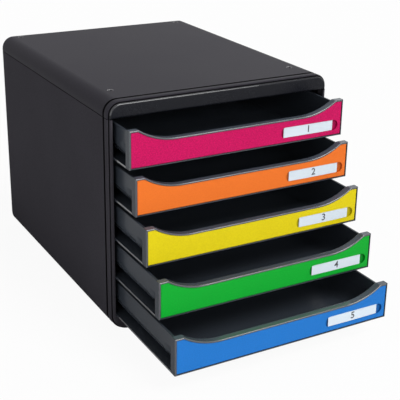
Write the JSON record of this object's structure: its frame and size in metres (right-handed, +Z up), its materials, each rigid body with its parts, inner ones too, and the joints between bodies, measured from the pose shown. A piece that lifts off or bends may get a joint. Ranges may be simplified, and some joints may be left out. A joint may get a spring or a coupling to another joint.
{
  "type": "desktop drawer unit",
  "caption": "Free-standing desktop drawer unit: black moulded casing with grey trays that slide out, each with a scooped coloured front plate and a label card.",
  "frame": {"origin": "on the desk under the middle of the casing, level with the undersides of the feet", "axes": "+Z up, -Y out of the front the way the drawers pull, +X to the right seen from the front"},
  "size_m": [0.278, 0.489, 0.271],
  "materials": {
    "casing_black": "fine matt grain",
    "drawer_grey": "satin",
    "plate_pink": "satin",
    "plate_orange": "satin",
    "plate_yellow": "satin",
    "plate_green": "satin",
    "plate_blue": "satin",
    "card_white": "matt card",
    "foot_rubber": "matt rubber"
  },
  "bodies": {
    "casing": {"base_tray": "casing_black", "left_side_panel": "casing_black", "right_side_panel": "casing_black", "back_panel": "casing_black", "top_cover": "casing_black", "header_fascia": "casing_black", "foot_front_left": "foot_rubber", "foot_front_right": "foot_rubber", "foot_rear_left": "foot_rubber", "foot_rear_right": "foot_rubber"},
    "drawer_1": {"drawer_tray_1": "drawer_grey", "front_plate_1": "plate_pink", "label_card_1": "card_white"},
    "drawer_2": {"drawer_tray_2": "drawer_grey", "front_plate_2": "plate_orange", "label_card_2": "card_white"},
    "drawer_3": {"drawer_tray_3": "drawer_grey", "front_plate_3": "plate_yellow", "label_card_3": "card_white"},
    "drawer_4": {"drawer_tray_4": "drawer_grey", "front_plate_4": "plate_green", "label_card_4": "card_white"},
    "drawer_5": {"drawer_tray_5": "drawer_grey", "front_plate_5": "plate_blue", "label_card_5": "card_white"}
  },
  "joints": [
    {"name": "drawer_1_slide", "type": "slide", "parent": "casing", "child": "drawer_1", "axis": [0, -1, 0], "range_m": [-0.04, 0.2]},
    {"name": "drawer_2_slide", "type": "slide", "parent": "casing", "child": "drawer_2", "axis": [0, -1, 0], "range_m": [-0.054, 0.186]},
    {"name": "drawer_3_slide", "type": "slide", "parent": "casing", "child": "drawer_3", "axis": [0, -1, 0], "range_m": [-0.078, 0.162]},
    {"name": "drawer_4_slide", "type": "slide", "parent": "casing", "child": "drawer_4", "axis": [0, -1, 0], "range_m": [-0.107, 0.133]},
    {"name": "drawer_5_slide", "type": "slide", "parent": "casing", "child": "drawer_5", "axis": [0, -1, 0], "range_m": [-0.142, 0.098]}
  ]
}
